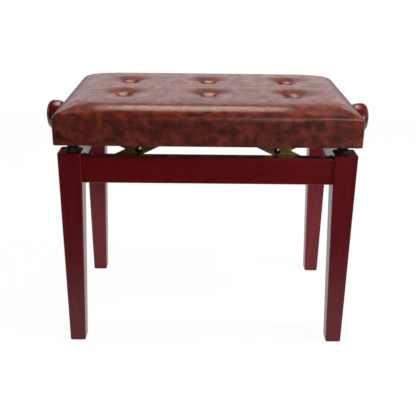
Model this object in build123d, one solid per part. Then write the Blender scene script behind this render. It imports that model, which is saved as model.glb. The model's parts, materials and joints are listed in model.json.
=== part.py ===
from build123d import *
from math import asin, cos, radians, sin, sqrt
import os

# Height-adjustable piano bench, in millimetres.
# X runs to the right of someone facing the bench, Y runs from front to back and Z runs up.
# The origin is on the floor, under the middle of the bench.

# Legs
frame_length = 540.0  # over the outer faces of the legs, left to right
frame_depth = 330.0  # over the outer faces of the legs, front to back
leg_height = 392.0
leg_top_width = 42.0
leg_foot_width = 30.0
leg_edge_round = 3.0
leg_foot_ease = 2.0
leg_top_ease = 1.2
leg_taper_drop = 62.0  # from the leg's top down to where its inner faces start to taper
leg_corner_flat = 8.0  # cut off the inner corner, along each face, to seat the bolt square

# Aprons
apron_height = 50.0
apron_thickness = 20.0
apron_drop = 7.0  # from the leg's top down to the apron's top
apron_setback = 4.0  # from the leg's outer face in to the apron's outer face
apron_edge_round = 2.0

# Corner brackets that pull the legs against the aprons
bracket_gauge = 2.0
bracket_height = 40.0
bracket_gap = 5.0  # between the bracket and the flat on the leg
kerf_depth = 8.0
kerf_clearance = 0.1
bolt_diameter = 8.0
bolt_grip_in_leg = 28.0
bolt_beyond_bracket = 16.0
bolt_hole_slack = 0.5
bolt_washer_diameter = 20.0
bolt_washer_thickness = 1.6
bolt_nut_width = 13.0
bolt_nut_thickness = 6.5

# Bumpers on the leg tops
bumper_foot_diameter = 28.0
bumper_top_diameter = 20.0
bumper_height = 8.0
bumper_edge_ease = 1.5
bumper_inset = 4.0  # from the middle of the leg's top, towards the middle of the bench

# Seat box
seat_overhang = 5.5  # past the outer faces of the legs, all round
seat_lift = 16.0  # from the leg's top up to the seat's underside, as photographed
seat_stop_gap = 0.3  # left above the bumpers when the seat is all the way down
seat_corner_round = 6.0
cover_thickness = 1.5
cover_return = 22.0  # width of the cover's edge that is turned under the rails
soft_gap = 0.5  # between the cover and what it is stretched over
seat_rail_thickness = 24.0
seat_rail_height = 28.5
board_thickness = 12.0

# Cushion crown
edge_height = 58.0  # seat's underside up to the long edges of the cushion, at mid-length
edge_fall = 9.0  # how much lower the long edges are at the corners
crown_height = 74.0  # seat's underside up to the highest point
shoulder_width = 24.0
shoulder_rise = 9.0
end_shoulder_width = 72.0
end_shoulder_overshoot = 1.5  # the end's round is drawn to this far above the crown, which cuts it

# Tufts
tuft_spacing_x = 158.0
tuft_spacing_y = 118.0
tuft_columns = 3
tuft_rows = 2
tuft_depth = 12.0
tuft_rim_radius = 46.0
tuft_rim_lift = 1.0  # the cut leaves the crown at a slant, so it ends this far above it
tuft_bulge = 2.0
button_diameter = 22.0
button_height = 6.5
button_seat_margin = 1.0
tie_diameter = 2.5
tie_hole_slack = 0.4
tie_washer_diameter = 14.0
tie_washer_thickness = 1.5

# Folding arms
arm_length = 126.0  # between the two end pivots of a long arm
arm_width = 22.0
arm_gauge = 3.0
arm_steepest = 72.0  # degrees above level, with the seat all the way up
plate_gap = 0.3  # between the flat plates that slide past each other
pivot_diameter = 8.0
pivot_clearance = 0.08
pivot_head_diameter = 13.0
pivot_head_thickness = 1.5

# Lower and upper rails of the lifting gear
rail_gauge = 2.0
rail_end_gap = 3.0  # between the lower rail's end and the corner bracket
pivot_end_margin = 23.0  # from the rail's end in to the outer pivot
lower_rail_height = 32.0
lower_rail_flange = 15.0
lower_rail_rise = 10.0  # above the apron's lower edge
lower_pivot_rise = 20.0  # above the lower rail's bottom
upper_rail_flange = 22.0
upper_pivot_rise = 12.0  # above the seat's underside
upper_web_reach = 10.5  # of the upper rail below its pivots
slot_clearance = 0.3

# Wood screws
screw_diameter = 4.0
screw_head_diameter = 9.0
screw_head_thickness = 2.5
screw_reach = 10.0  # into the wood
screw_clearance = 0.05
screw_end_margin = 6.0  # from a rail's end to its outer screw
screw_inner_offset = 40.0  # from the middle of a rail to its inner screw
board_screw_length = 28.0
board_screw_inset = 90.0  # from the ends of a seat rail

# Spindle and knobs
nut_bar_width = 16.0
spindle_diameter = 12.0
spindle_middle_diameter = 10.5
journal_diameter = 10.0
thread_run_out = 8.0  # of thread past the nut bars at both ends of their travel
thread_clearance = 0.1
bush_outer_diameter = 16.0
bush_flange_diameter = 24.0
bush_flange_thickness = 2.0
collar_diameter = 20.0
collar_width = 8.0
cover_hole_slack = 1.0
knob_diameter = 58.0
knob_depth = 43.0
knob_gap = 2.0  # between the seat's side and the knob
knob_neck_diameter = 28.0
knob_back_diameter = 54.0
knob_back_depth = 14.0  # from the neck's face to the knob's back edge
knob_rim_depth = 31.0  # from the neck's face to the knob's widest ring
knob_face_diameter = 44.0
knob_face_dome = 3.0
knob_cove_sag = 2.5
knob_bore_depth = 24.0

# Places worked out from the sizes above
half_length = frame_length / 2
half_depth = frame_depth / 2
leg_inner_x = half_length - leg_top_width
leg_inner_y = half_depth - leg_top_width
apron_top = leg_height - apron_drop
apron_bottom = apron_top - apron_height
apron_inner_x = half_length - apron_setback - apron_thickness
apron_inner_y = half_depth - apron_setback - apron_thickness
apron_middle = (apron_top + apron_bottom) / 2

seat_half_x = half_length + seat_overhang
seat_half_y = half_depth + seat_overhang
seat_bottom = leg_height + seat_lift
rails_bottom = seat_bottom + cover_thickness
board_bottom = rails_bottom + seat_rail_height
board_top = board_bottom + board_thickness
core_half_x = seat_half_x - cover_thickness - soft_gap
core_half_y = seat_half_y - cover_thickness - soft_gap
core_corner_round = seat_corner_round - cover_thickness - soft_gap
seat_rail_inner_x = core_half_x - seat_rail_thickness
seat_rail_inner_y = core_half_y - seat_rail_thickness
crown_top = seat_bottom + crown_height
edge_radius = (seat_half_x**2 + edge_fall**2) / (2 * edge_fall)
end_shoulder_rise = crown_height - edge_height + edge_fall + end_shoulder_overshoot
crown_sag_y = crown_height - edge_height - shoulder_rise
crown_half_y = seat_half_y - shoulder_width
crown_radius_y = (crown_half_y**2 + crown_sag_y**2) / (2 * crown_sag_y)
shoulder_slope = asin(crown_half_y / crown_radius_y)

# The bracket's outer face is the line x + y = bracket_sum in the corner where x and y are positive
bracket_sum = leg_inner_x + leg_inner_y + leg_corner_flat - bracket_gap * sqrt(2)
bracket_foot_x = bracket_sum - apron_inner_y
bracket_foot_y = bracket_sum - apron_inner_x

# Plates of the lifting gear, stacked inwards from the apron
lower_web_inner = apron_inner_y - rail_gauge
arm_outer = lower_web_inner - plate_gap
arm_inner = arm_outer - arm_gauge
link_outer = arm_inner - plate_gap
link_inner = link_outer - arm_gauge
upper_web_outer = link_inner - plate_gap
upper_web_inner = upper_web_outer - rail_gauge
nut_bar_half = upper_web_inner - plate_gap

# Pivots in the corner where x is positive, with the seat as photographed
lower_rail_bottom = apron_bottom + lower_rail_rise
lower_pivot_z = lower_rail_bottom + lower_pivot_rise
upper_pivot_z = seat_bottom + upper_pivot_rise
rail_half_length = bracket_foot_x - bracket_gauge - rail_end_gap
pivot_x = rail_half_length - pivot_end_margin
arm_angle = asin((upper_pivot_z - lower_pivot_z) / arm_length)
slide_x = pivot_x - arm_length * cos(arm_angle)
middle_x = (pivot_x + slide_x) / 2
middle_z = (lower_pivot_z + upper_pivot_z) / 2

# Travel of the nut bars, from the seat on its bumpers to the arms at their steepest
drop_to_bumpers = seat_lift - bumper_height - seat_stop_gap
lowest_angle = asin((upper_pivot_z - lower_pivot_z - drop_to_bumpers) / arm_length)
slide_x_lowest = pivot_x - arm_length * cos(lowest_angle)
slide_x_highest = pivot_x - arm_length * cos(radians(arm_steepest))

pivot_radius = pivot_diameter / 2
pivot_hole_radius = pivot_radius + pivot_clearance
pivot_head_radius = pivot_head_diameter / 2
bolt_radius = bolt_diameter / 2
screw_radius = screw_diameter / 2
screw_hole_radius = screw_radius + screw_clearance
screw_xs = (screw_inner_offset, rail_half_length - screw_end_margin)
lower_screw_z = lower_rail_bottom + lower_rail_height / 2
upper_screw_y = upper_web_inner - upper_rail_flange / 2
tie_hole_radius = tie_diameter / 2 + tie_hole_slack
journal_radius = journal_diameter / 2

corners = {"front_left": (-1, -1), "front_right": (1, -1), "rear_left": (-1, 1), "rear_right": (1, 1)}
sides = {"left": -1, "right": 1}
rows = {"front": -1, "rear": 1}
far = 50.0  # how far a cutting shape runs past what it cuts

nodes = {}


def block(low, high):
    """Box between two corners."""
    size = [b - a for a, b in zip(low, high)]
    middle = [(a + b) / 2 for a, b in zip(low, high)]
    return Pos(*middle) * Box(*size)


def rod(start, end, radius):
    """Round bar between two points."""
    run = Vector(*end) - Vector(*start)
    base = Plane(origin=start, z_dir=run)
    return base * Cylinder(radius, run.length, align=(Align.CENTER, Align.CENTER, Align.MIN))


def to_corner(shape, x_sign, y_sign):
    """Mirrored copy of a shape that was drawn where x and y are positive."""
    if x_sign < 0:
        shape = mirror(shape, about=Plane.YZ)
    if y_sign < 0:
        shape = mirror(shape, about=Plane.XZ)
    return shape


def group(shapes):
    """Separate solids kept together as one node."""
    return Compound(children=[solid for shape in shapes for solid in shape.solids()])


def bolt_axis_point(distance):
    """Point on a leg bolt's axis, that far out from the leg's inner corner along the diagonal."""
    step = distance / sqrt(2)
    return (leg_inner_x + step, leg_inner_y + step, apron_middle)


leg_flat_distance = leg_corner_flat / sqrt(2)
bracket_inner_distance = leg_flat_distance - bracket_gap - bracket_gauge


def make_leg():
    """Square block above, tapered below on its two inner faces, with eased ends."""
    taper_top = leg_height - leg_taper_drop
    stations = [
        (0, leg_foot_width, leg_foot_ease),
        (leg_foot_ease, leg_foot_width, 0),
        (taper_top, leg_top_width, 0),
        (leg_height - leg_top_ease, leg_top_width, 0),
        (leg_height, leg_top_width, leg_top_ease),
    ]
    sections = []
    for z, width, ease in stations:
        middle = Pos(half_length - width / 2, half_depth - width / 2, z)
        sections.append(middle * RectangleRounded(width - 2 * ease, width - 2 * ease, leg_edge_round))
    leg = loft(sections, ruled=True)
    low_x, low_y = leg_inner_x - far, leg_inner_y - far
    reach = leg_corner_flat + far
    flat = Polyline(
        (low_x, low_y), (leg_inner_x + reach, low_y), (low_x, leg_inner_y + reach), close=True
    )
    flat_bottom = apron_bottom + leg_edge_round
    leg -= Pos(0, 0, flat_bottom) * extrude(make_face(flat), leg_height - flat_bottom + far)
    bolt_tip = bolt_axis_point(leg_flat_distance + bolt_grip_in_leg)
    leg -= rod(bolt_axis_point(0), bolt_tip, bolt_radius + screw_clearance)
    return leg


def make_bracket():
    """Bent plate across a corner, with its two ends turned into the aprons' saw kerfs."""
    inner_sum = bracket_sum - bracket_gauge * sqrt(2)
    outline = Polyline(
        (bracket_foot_x, apron_inner_y),
        (bracket_foot_x, apron_inner_y + kerf_depth),
        (bracket_foot_x - bracket_gauge, apron_inner_y + kerf_depth),
        (bracket_foot_x - bracket_gauge, inner_sum - bracket_foot_x + bracket_gauge),
        (inner_sum - bracket_foot_y + bracket_gauge, bracket_foot_y - bracket_gauge),
        (apron_inner_x + kerf_depth, bracket_foot_y - bracket_gauge),
        (apron_inner_x + kerf_depth, bracket_foot_y),
        (apron_inner_x, bracket_foot_y),
        close=True,
    )
    plate = extrude(make_face(outline), bracket_height)
    plate = Pos(0, 0, apron_middle - bracket_height / 2) * plate
    hole_start = bolt_axis_point(bracket_inner_distance - bracket_gauge)
    return plate - rod(hole_start, bolt_axis_point(leg_flat_distance), bolt_radius + bolt_hole_slack)


def make_bolt_set():
    """Hanger bolt, washer and hexagon nut that hold a leg to its bracket."""
    bolt_end = bracket_inner_distance - bolt_beyond_bracket
    bolt_tip = bolt_axis_point(leg_flat_distance + bolt_grip_in_leg)
    bolt = rod(bolt_axis_point(bolt_end), bolt_tip, bolt_radius)
    bore_radius = bolt_radius + screw_clearance
    washer_end = bracket_inner_distance - bolt_washer_thickness
    washer = rod(
        bolt_axis_point(bracket_inner_distance), bolt_axis_point(washer_end), bolt_washer_diameter / 2
    )
    nut_face = Plane(origin=bolt_axis_point(washer_end), z_dir=(-1, -1, 0))
    hexagon = RegularPolygon(bolt_nut_width / 2, 6, major_radius=False)
    nut = extrude(nut_face * hexagon, bolt_nut_thickness)
    bore = rod(bolt_axis_point(bolt_end), bolt_axis_point(leg_flat_distance), bore_radius)
    return bolt, washer - bore, nut - bore


def make_apron_long():
    """Rear apron: a board with a saw kerf near each end and pilot holes for the lower rail."""
    outer_y = apron_inner_y + apron_thickness
    board = block((-leg_inner_x, apron_inner_y, apron_bottom), (leg_inner_x, outer_y, apron_top))
    board = fillet(board.edges().filter_by(Axis.X).group_by(Axis.Y)[-1], apron_edge_round)
    kerf_low = bracket_foot_x - bracket_gauge - kerf_clearance
    kerf = block(
        (kerf_low, apron_inner_y - far, apron_bottom - far),
        (bracket_foot_x + kerf_clearance, apron_inner_y + kerf_depth + kerf_clearance, apron_top + far),
    )
    board -= kerf
    board -= mirror(kerf, about=Plane.YZ)
    for sign in sides.values():
        for x in screw_xs:
            start = (sign * x, apron_inner_y - far, lower_screw_z)
            board -= rod(start, (sign * x, apron_inner_y + screw_reach, lower_screw_z), screw_hole_radius)
    return board


def make_apron_short():
    """Right apron: a board with a saw kerf near each end."""
    outer_x = apron_inner_x + apron_thickness
    board = block((apron_inner_x, -leg_inner_y, apron_bottom), (outer_x, leg_inner_y, apron_top))
    board = fillet(board.edges().filter_by(Axis.Y).group_by(Axis.X)[-1], apron_edge_round)
    kerf_low = bracket_foot_y - bracket_gauge - kerf_clearance
    kerf = block(
        (apron_inner_x - far, kerf_low, apron_bottom - far),
        (apron_inner_x + kerf_depth + kerf_clearance, bracket_foot_y + kerf_clearance, apron_top + far),
    )
    board -= kerf
    return board - mirror(kerf, about=Plane.XZ)


def make_bumper():
    """Tapered rubber pad on a leg's top, a little in from its middle."""
    middle = half_length - leg_top_width / 2 - bumper_inset, half_depth - leg_top_width / 2
    foot_radius, top_radius = bumper_foot_diameter / 2, bumper_top_diameter / 2
    pad = Pos(*middle, leg_height + bumper_height / 2) * Cone(foot_radius, top_radius, bumper_height)
    return chamfer(pad.edges().group_by(Axis.Z)[-1], bumper_edge_ease)


def wood_screw(seat, direction, reach):
    """Pan-head screw: its head stands on the seat point, and its shank runs along direction."""
    run = Vector(*direction)
    head_top = Vector(*seat) - run * screw_head_thickness
    head = rod(tuple(head_top), seat, screw_head_diameter / 2)
    return head + rod(seat, tuple(Vector(*seat) + run * reach), screw_radius)


def make_lower_rail():
    """Rear lower rail: an angle on the apron's inner face that carries two arm pivots."""
    low_z, high_z = lower_rail_bottom, lower_rail_bottom + lower_rail_height
    web = block((-rail_half_length, lower_web_inner, low_z), (rail_half_length, apron_inner_y, high_z))
    flange = block(
        (-rail_half_length, apron_inner_y - lower_rail_flange, low_z),
        (rail_half_length, apron_inner_y, low_z + rail_gauge),
    )
    rail = web + flange
    for sign in sides.values():
        drill = [(pivot_x, lower_pivot_z, pivot_hole_radius)]
        drill += [(x, lower_screw_z, screw_hole_radius) for x in screw_xs]
        for x, z, radius in drill:
            rail -= rod((sign * x, lower_web_inner - 1, z), (sign * x, apron_inner_y + 1, z), radius)
    return rail


def make_upper_rail():
    """Rear upper rail: an angle under the seat board with two pivots and two slide slots."""
    low_z = upper_pivot_z - upper_web_reach
    web = block(
        (-rail_half_length, upper_web_inner, low_z), (rail_half_length, upper_web_outer, board_bottom)
    )
    flange = block(
        (-rail_half_length, upper_web_outer - upper_rail_flange, board_bottom - rail_gauge),
        (rail_half_length, upper_web_outer, board_bottom),
    )
    rail = web + flange
    slot_length = slide_x_highest - slide_x_lowest
    slot_plane = Plane(
        origin=((slide_x_highest + slide_x_lowest) / 2, upper_web_outer + 1, upper_pivot_z),
        x_dir=(1, 0, 0),
        z_dir=(0, -1, 0),
    )
    slot_outline = SlotCenterToCenter(slot_length, pivot_diameter + 2 * slot_clearance)
    slot = extrude(slot_plane * slot_outline, rail_gauge + 2)
    for sign in sides.values():
        rail -= to_corner(slot, sign, 1)
        start = (sign * pivot_x, upper_web_inner - 1, upper_pivot_z)
        rail -= rod(start, (sign * pivot_x, upper_web_outer + 1, upper_pivot_z), pivot_hole_radius)
        for x in screw_xs:
            top = (sign * x, upper_screw_y, board_bottom + 1)
            rail -= rod((sign * x, upper_screw_y, low_z), top, screw_hole_radius)
    return rail


def strip(start, end, y_outer, y_inner, hole_shares):
    """Flat strip with round ends between two pivots, drilled at these shares of its length."""
    run = Vector(end[0] - start[0], 0, end[1] - start[1])
    face = Plane(origin=(start[0], y_outer, start[1]), x_dir=run, z_dir=(0, -1, 0))
    outline = Pos(run.length / 2, 0) * SlotCenterToCenter(run.length, arm_width)
    for share in hole_shares:
        outline -= Pos(run.length * share, 0) * Circle(pivot_hole_radius)
    return extrude(face * outline, y_outer - y_inner)


def headed_pin(x, z, tail_y, head_y, head_step):
    """Pivot pin from its flush tail to its head, which starts at head_y and runs on by head_step."""
    pin = rod((x, tail_y, z), (x, head_y, z), pivot_radius)
    return pin + rod((x, head_y, z), (x, head_y + head_step, z), pivot_head_radius)


def make_arm_rivet():
    """Rivet through the middle of a long arm and the end of its short link."""
    head = pivot_head_thickness
    rivet = headed_pin(middle_x, middle_z, arm_outer, link_inner - plate_gap, -head)
    cap = rod((middle_x, arm_outer, middle_z), (middle_x, arm_outer + head, middle_z), pivot_head_radius)
    return rivet + cap


def make_nut_bar():
    """Square cross bar on the right thread, with a turned pin at each end for the long arms."""
    half = nut_bar_width / 2
    bar = block(
        (slide_x - half, -nut_bar_half, upper_pivot_z - half),
        (slide_x + half, nut_bar_half, upper_pivot_z + half),
    )
    pin_end = arm_outer + plate_gap
    bar += rod((slide_x, -pin_end, upper_pivot_z), (slide_x, pin_end, upper_pivot_z), pivot_radius)
    for sign in rows.values():
        start = (slide_x, sign * pin_end, upper_pivot_z)
        end = (slide_x, sign * (pin_end + pivot_head_thickness), upper_pivot_z)
        bar += rod(start, end, pivot_head_radius)
    bore = rod(
        (slide_x - nut_bar_width, 0, upper_pivot_z),
        (slide_x + nut_bar_width, 0, upper_pivot_z),
        spindle_diameter / 2 + thread_clearance,
    )
    return bar - bore


def make_slide_spacers():
    """Rings on the right nut bar's pins that fill the link's place beside the long arms."""
    rings = []
    for sign in rows.values():
        start = (slide_x, sign * link_outer, upper_pivot_z)
        end = (slide_x, sign * link_inner, upper_pivot_z)
        rings.append(rod(start, end, pivot_head_radius) - rod(start, end, pivot_hole_radius))
    return rings


def make_spindle():
    """Screw shaft: a plain middle, a threaded stretch on each half and plain journals at the ends."""
    thread_start = slide_x_lowest - nut_bar_width / 2 - thread_run_out
    thread_end = slide_x_highest + nut_bar_width / 2 + thread_run_out
    shaft_end = seat_half_x + knob_gap + knob_bore_depth
    shaft = rod((-shaft_end, 0, upper_pivot_z), (shaft_end, 0, upper_pivot_z), journal_radius)
    middle = thread_start, 0, upper_pivot_z
    shaft += rod((-thread_start, 0, upper_pivot_z), middle, spindle_middle_diameter / 2)
    for sign in sides.values():
        start = (sign * thread_start, 0, upper_pivot_z)
        shaft += rod(start, (sign * thread_end, 0, upper_pivot_z), spindle_diameter / 2)
    return shaft


def make_bush():
    """Flanged bush that carries the spindle in the right seat rail."""
    flange_face = seat_rail_inner_x - bush_flange_thickness
    barrel = rod(
        (seat_rail_inner_x, 0, upper_pivot_z), (core_half_x, 0, upper_pivot_z), bush_outer_diameter / 2
    )
    barrel += rod(
        (flange_face, 0, upper_pivot_z), (seat_rail_inner_x, 0, upper_pivot_z), bush_flange_diameter / 2
    )
    bore_radius = journal_radius + pivot_clearance
    return barrel - rod((flange_face - 1, 0, upper_pivot_z), (seat_half_x, 0, upper_pivot_z), bore_radius)


def make_collar():
    """Ring fixed on the spindle beside the right bush, so that the spindle can't slide endways."""
    outer_x = seat_rail_inner_x - bush_flange_thickness - plate_gap
    start, end = (outer_x - collar_width, 0, upper_pivot_z), (outer_x, 0, upper_pivot_z)
    return rod(start, end, collar_diameter / 2) - rod(start, end, journal_radius + screw_clearance)


def make_knob():
    """Turned wooden knob on the spindle's right end: neck, cove, full rim and slightly domed face."""
    neck_x = seat_half_x + knob_gap
    back = (neck_x + knob_back_depth, knob_back_diameter / 2)
    face = (neck_x + knob_depth - knob_face_dome, knob_face_diameter / 2)
    rim = (neck_x + knob_rim_depth, knob_diameter / 2)
    tip = (neck_x + knob_depth, 0)
    neck = (neck_x, knob_neck_diameter / 2)
    profile = Curve() + [
        Line((neck_x, 0), neck),
        SagittaArc(neck, back, -knob_cove_sag),
        TangentArc(rim, back, tangent=(-1, 0)),
        TangentArc(rim, face, tangent=(1, 0)),
        TangentArc(tip, face, tangent=(0, 1)),
        Line(tip, (neck_x, 0)),
    ]
    turned = revolve(Plane.XZ * make_face(profile), Axis.X)
    bore_end = neck_x + knob_bore_depth + plate_gap
    bore = rod((neck_x - 1, 0, 0), (bore_end, 0, 0), journal_radius + screw_clearance)
    return Pos(0, 0, upper_pivot_z) * (turned - bore)


def edge_drop(x):
    """How far the long edges of the cushion have fallen at a distance from mid-length."""
    return edge_radius - sqrt(edge_radius**2 - x**2)


def crown_at(y):
    """Height of the cushion's crown at a distance from its ridge, before the tufts are drawn in."""
    return crown_top - crown_radius_y + sqrt(crown_radius_y**2 - y**2)


def tuft_points():
    """Middle of each tuft, in rows along the seat."""
    for column in range(tuft_columns):
        for row in range(tuft_rows):
            x = (column - (tuft_columns - 1) / 2) * tuft_spacing_x
            y = (row - (tuft_rows - 1) / 2) * tuft_spacing_y
            yield x, y


def tuft_floor(y):
    """Height that the outer face of the cover is drawn down to at a tuft."""
    return crown_at(y) - tuft_depth


def tuft_cutter(x, y, inset):
    """Trumpet-shaped hollow that a tuft draws into the crown, for a skin that far inside the cover."""
    floor = tuft_floor(y) - inset
    rim = crown_at(y) + tuft_rim_lift - inset
    seat_radius = button_diameter / 2 + button_seat_margin + inset
    foot = (seat_radius, floor)
    lip = (tuft_rim_radius, rim)
    profile = Curve() + [
        Line((0, floor), foot),
        SagittaArc(foot, lip, tuft_bulge),
        Line(lip, (tuft_rim_radius, rim + far)),
        Line((tuft_rim_radius, rim + far), (0, rim + far)),
        Line((0, rim + far), (0, floor)),
    ]
    return Pos(x, y, 0) * revolve(Plane.XZ * make_face(profile), Axis.Z)


def cushion_half(bottom, inset):
    """Rear half of the crowned and tufted seat above a level, drawn in by inset on its sides and top."""
    half_x, half_y = seat_half_x - inset, seat_half_y - inset
    edge_z = seat_bottom + edge_height - inset
    low_z = seat_bottom - far
    end_x = seat_half_x + far
    sections = []
    shoulder = (half_y - shoulder_width, edge_z + shoulder_rise)
    ridge = (0, crown_top - inset)
    for x in (-end_x, 0, end_x):
        edge = (half_y, edge_z - edge_drop(x))
        profile = Curve() + [
            Line((0, low_z), (half_y, low_z)),
            Line((half_y, low_z), edge),
            TangentArc(shoulder, edge, tangent=(cos(shoulder_slope), -sin(shoulder_slope))),
            TangentArc(ridge, shoulder, tangent=(1, 0)),
            Line(ridge, (0, low_z)),
        ]
        sections.append(Plane.YZ.offset(x) * make_face(profile))
    slab = loft(sections)

    end_edge = (half_x, edge_z - edge_fall)
    end_top = (half_x - end_shoulder_width, edge_z - edge_fall + end_shoulder_rise)
    end_profile = Curve() + [
        Line((0, bottom), (half_x, bottom)),
        Line((half_x, bottom), end_edge),
        TangentArc(end_top, end_edge, tangent=(1, 0)),
        Line(end_top, (end_top[0], crown_top + far)),
        Line((end_top[0], crown_top + far), (0, crown_top + far)),
        Line((0, crown_top + far), (0, bottom)),
    ]
    right_end = extrude(Plane.XZ * make_face(end_profile), -seat_half_y - far)
    plan = RectangleRounded(2 * half_x, 2 * half_y, seat_corner_round - inset)
    plan_block = Pos(0, 0, bottom) * extrude(plan, crown_top + far - bottom)
    form = plan_block & (right_end + mirror(right_end, about=Plane.YZ)) & slab
    for x, y in tuft_points():
        form -= tuft_cutter(x, y, inset)
    return form


def both_halves(half):
    """The rear half joined to its mirrored front half, with a hole for each tuft's tie."""
    whole = half + mirror(half, about=Plane.XZ)
    for x, y in tuft_points():
        whole -= rod((x, y, seat_bottom), (x, y, crown_top), tie_hole_radius)
    return whole


def make_cover():
    """Vinyl skin over the crown and the sides of the seat, with its edge turned under the rails."""
    skin = cushion_half(seat_bottom, 0) - cushion_half(rails_bottom, cover_thickness)
    open_x = seat_half_x - cover_thickness - cover_return
    open_y = seat_half_y - cover_thickness - cover_return
    skin -= block((-open_x, -far, seat_bottom - 1), (open_x, open_y, rails_bottom + 1))
    hole_radius = journal_radius + cover_hole_slack
    reach = seat_half_x + far
    skin -= rod((-reach, 0, upper_pivot_z), (reach, 0, upper_pivot_z), hole_radius)
    return both_halves(skin)


def make_foam():
    """Foam pad on the board, with the same crown and tufts as the cover over it."""
    return both_halves(cushion_half(board_top, cover_thickness + soft_gap))


def board_screw_points():
    """Middle of each screw that holds the board to a seat rail."""
    rail_y = core_half_y - seat_rail_thickness / 2
    rail_x = core_half_x - seat_rail_thickness / 2
    for x_sign in sides.values():
        for y_sign in rows.values():
            yield x_sign * (core_half_x - board_screw_inset), y_sign * rail_y
            yield x_sign * rail_x, y_sign * (core_half_y - board_screw_inset)


def board_screw(x, y, slack):
    """Screw sunk flush into the board's top, or the hole for it when it is given slack."""
    head_bottom = board_top - screw_head_thickness
    screw = rod((x, y, head_bottom), (x, y, board_top), screw_head_diameter / 2 + slack)
    return screw + rod((x, y, board_top - board_screw_length), (x, y, head_bottom), screw_radius + slack)


def make_board():
    """Plywood board under the foam."""
    plan = RectangleRounded(2 * core_half_x, 2 * core_half_y, core_corner_round)
    board = Pos(0, 0, board_bottom) * extrude(plan, board_thickness)
    for x, y in board_screw_points():
        board -= board_screw(x, y, screw_clearance)
    for sign in sides.values():
        for row in rows.values():
            for x in screw_xs:
                start = (sign * x, row * upper_screw_y, board_bottom - 1)
                end = (sign * x, row * upper_screw_y, board_bottom + screw_reach)
                board -= rod(start, end, screw_hole_radius)
    for x, y in tuft_points():
        board -= rod((x, y, board_bottom - 1), (x, y, board_top + 1), tie_hole_radius)
    return board


def make_seat_rails():
    """Long rear rail and short right rail of the seat's box."""
    long_rail = block(
        (-core_half_x, seat_rail_inner_y, rails_bottom), (core_half_x, core_half_y, board_bottom)
    )
    outer_corners = long_rail.edges().filter_by(Axis.Z).group_by(Axis.Y)[-1]
    long_rail = fillet(outer_corners, core_corner_round)
    short_rail = block(
        (seat_rail_inner_x, -seat_rail_inner_y, rails_bottom), (core_half_x, seat_rail_inner_y, board_bottom)
    )
    short_rail -= rod(
        (seat_rail_inner_x - 1, 0, upper_pivot_z),
        (core_half_x + 1, 0, upper_pivot_z),
        bush_outer_diameter / 2 + screw_clearance,
    )
    for x, y in board_screw_points():
        hole = board_screw(x, y, screw_clearance)
        long_rail -= hole
        short_rail -= hole
    return long_rail, short_rail


def make_button(x, y):
    """Covered button that holds a tuft down."""
    floor = tuft_floor(y)
    radius = button_diameter / 2
    profile = Curve() + [
        Line((0, floor), (radius, floor)),
        TangentArc((0, floor + button_height), (radius, floor), tangent=(1, 0)),
        Line((0, floor + button_height), (0, floor)),
    ]
    return Pos(x, y, 0) * revolve(Plane.XZ * make_face(profile), Axis.Z)


def make_tie(x, y):
    """Twine from a button down through the seat, with the washer that it is knotted under."""
    washer_bottom = board_bottom - tie_washer_thickness
    tie = rod((x, y, washer_bottom), (x, y, tuft_floor(y)), tie_diameter / 2)
    return tie + rod((x, y, washer_bottom), (x, y, board_bottom), tie_washer_diameter / 2)


# Leg frame
leg = make_leg()
bracket = make_bracket()
bolt, bolt_washer, bolt_nut = make_bolt_set()
bumper = make_bumper()
for corner, signs in corners.items():
    nodes[f"leg_{corner}"] = to_corner(leg, *signs)
    nodes[f"corner_bracket_{corner}"] = to_corner(bracket, *signs)
    nodes[f"bumper_{corner}"] = to_corner(bumper, *signs)
nodes["leg_bolts"] = group([to_corner(bolt, *signs) for signs in corners.values()])
nodes["leg_bolt_washers"] = group([to_corner(bolt_washer, *signs) for signs in corners.values()])
nodes["leg_bolt_nuts"] = group([to_corner(bolt_nut, *signs) for signs in corners.values()])

long_apron = make_apron_long()
short_apron = make_apron_short()
lower_rail = make_lower_rail()
upper_rail = make_upper_rail()
long_seat_rail, short_seat_rail = make_seat_rails()
for row, sign in rows.items():
    nodes[f"apron_{row}"] = to_corner(long_apron, 1, sign)
    nodes[f"lower_rail_{row}"] = to_corner(lower_rail, 1, sign)
    nodes[f"upper_rail_{row}"] = to_corner(upper_rail, 1, sign)
    nodes[f"seat_rail_{row}"] = to_corner(long_seat_rail, 1, sign)
for side, sign in sides.items():
    nodes[f"apron_{side}"] = to_corner(short_apron, sign, 1)
    nodes[f"seat_rail_{side}"] = to_corner(short_seat_rail, sign, 1)

lower_seats = [(x, lower_web_inner, lower_screw_z) for x in screw_xs]
upper_seats = [(x, upper_screw_y, board_bottom - rail_gauge) for x in screw_xs]
lower_screws = [wood_screw(seat, (0, 1, 0), rail_gauge + screw_reach) for seat in lower_seats]
upper_screws = [wood_screw(seat, (0, 0, 1), rail_gauge + screw_reach) for seat in upper_seats]
lower_pivot = headed_pin(
    pivot_x, lower_pivot_z, apron_inner_y, arm_inner - plate_gap, -pivot_head_thickness
)
upper_pivot = headed_pin(
    pivot_x, upper_pivot_z, upper_web_inner, link_outer + plate_gap, pivot_head_thickness
)
for name, shapes in {
    "lower_rail_screws": lower_screws,
    "upper_rail_screws": upper_screws,
    "lower_pivot_pins": [lower_pivot],
    "upper_pivot_pins": [upper_pivot],
}.items():
    nodes[name] = group([to_corner(s, *signs) for signs in corners.values() for s in shapes])

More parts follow.
